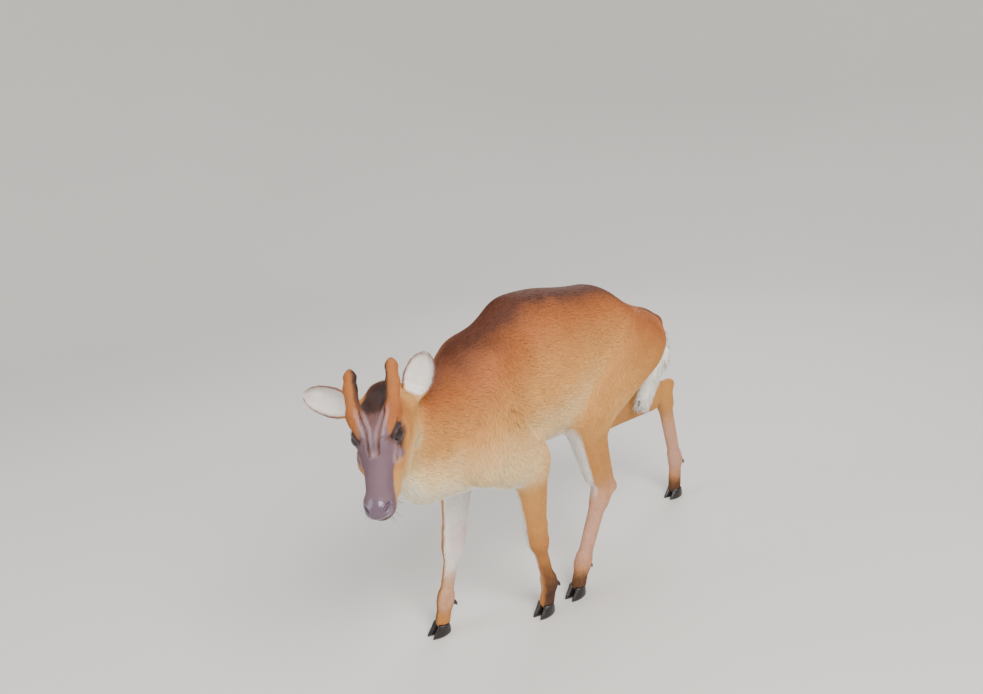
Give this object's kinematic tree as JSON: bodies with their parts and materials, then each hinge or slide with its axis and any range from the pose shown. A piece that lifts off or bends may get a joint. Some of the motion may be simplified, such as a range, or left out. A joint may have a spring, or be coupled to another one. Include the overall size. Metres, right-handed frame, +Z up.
{
  "type": "muntjac",
  "caption": "Life-size still model of a muntjac buck walking with its head low and turned to its left, with short furred pedicels and its tail down.",
  "frame": {"origin": "centre of the bounding box on the floor that the hooves stand on", "axes": "+Z up, the trunk faces -Y, the animal's left side is +X"},
  "size_m": [0.2646, 0.9892, 0.5844],
  "materials": {
    "coat": "short rufous brown fur over modelled flesh",
    "throat": "short golden to cream fur",
    "face": "short dark grey-brown fur with bare skin at the nose",
    "pedicel": "short orange-brown fur",
    "ear": "pale fur and thin skin",
    "tail": "long white hair, rufous above",
    "hoof": "black horn, semi-gloss",
    "eye": "polished dark brown"
  },
  "bodies": {
    "root": {"tail": "tail", "torso": "coat", "neck": "throat", "left_forearm": "coat", "left_fore_cannon": "coat", "left_fore_pastern": "coat", "left_fore_inner_hoof": "hoof", "left_fore_inner_dewclaw": "hoof", "left_fore_outer_hoof": "hoof", "left_fore_outer_dewclaw": "hoof", "left_shank": "coat", "left_hind_cannon": "coat", "left_hind_pastern": "coat", "left_hind_inner_hoof": "hoof", "left_hind_inner_dewclaw": "hoof", "left_hind_outer_hoof": "hoof", "left_hind_outer_dewclaw": "hoof", "right_forearm": "coat", "right_fore_cannon": "coat", "right_fore_pastern": "coat", "right_fore_inner_hoof": "hoof", "right_fore_inner_dewclaw": "hoof", "right_fore_outer_hoof": "hoof", "right_fore_outer_dewclaw": "hoof", "right_shank": "coat", "right_hind_cannon": "coat", "right_hind_pastern": "coat", "right_hind_inner_hoof": "hoof", "right_hind_inner_dewclaw": "hoof", "right_hind_outer_hoof": "hoof", "right_hind_outer_dewclaw": "hoof", "left_eye": "eye", "left_ear": "ear", "left_pedicel": "pedicel", "right_eye": "eye", "right_ear": "ear", "right_pedicel": "pedicel", "head": "face"}
  },
  "joints": []
}
